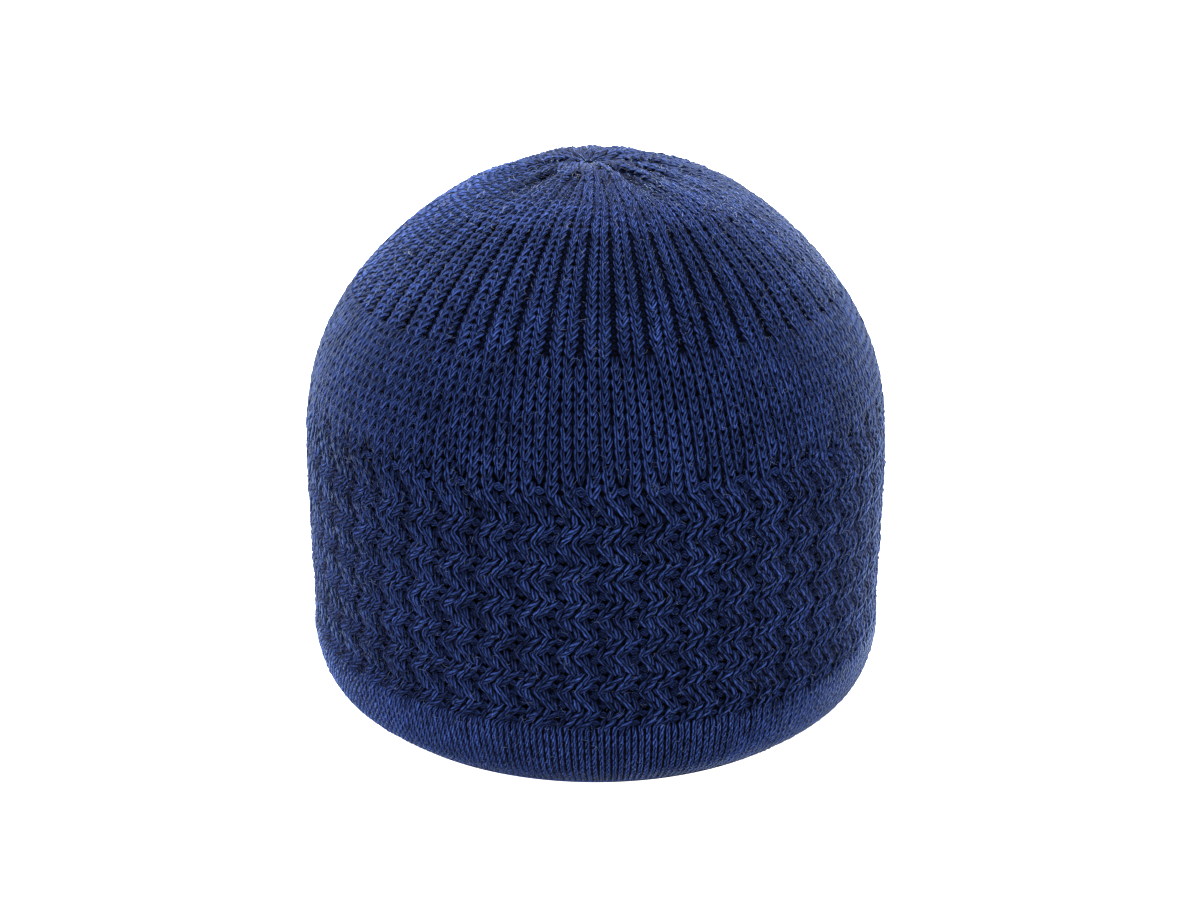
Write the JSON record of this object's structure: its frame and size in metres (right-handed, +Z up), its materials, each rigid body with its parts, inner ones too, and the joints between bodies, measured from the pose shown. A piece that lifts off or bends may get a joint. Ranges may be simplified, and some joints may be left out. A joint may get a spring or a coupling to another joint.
{
  "type": "knit cap",
  "caption": "Close-fitting knit cap worked in the round, with a fine drawn-in hem, a zigzag ribbed band, a plain band, a ribbed crown and a gathered top.",
  "frame": {"origin": "centre of the opening, on the surface that the cap rests on", "axes": "+Z up the middle of the cap from the opening to the gather, -Y to the front, +X to the viewer's right"},
  "size_m": [0.1802, 0.1802, 0.1672],
  "materials": {
    "knit": "matte navy yarn, knitted, with a light fuzz"
  },
  "bodies": {
    "root": {"hem": "knit", "zigzag_band": "knit", "plain_band": "knit", "ribbed_crown": "knit", "gathered_top": "knit"}
  },
  "joints": []
}
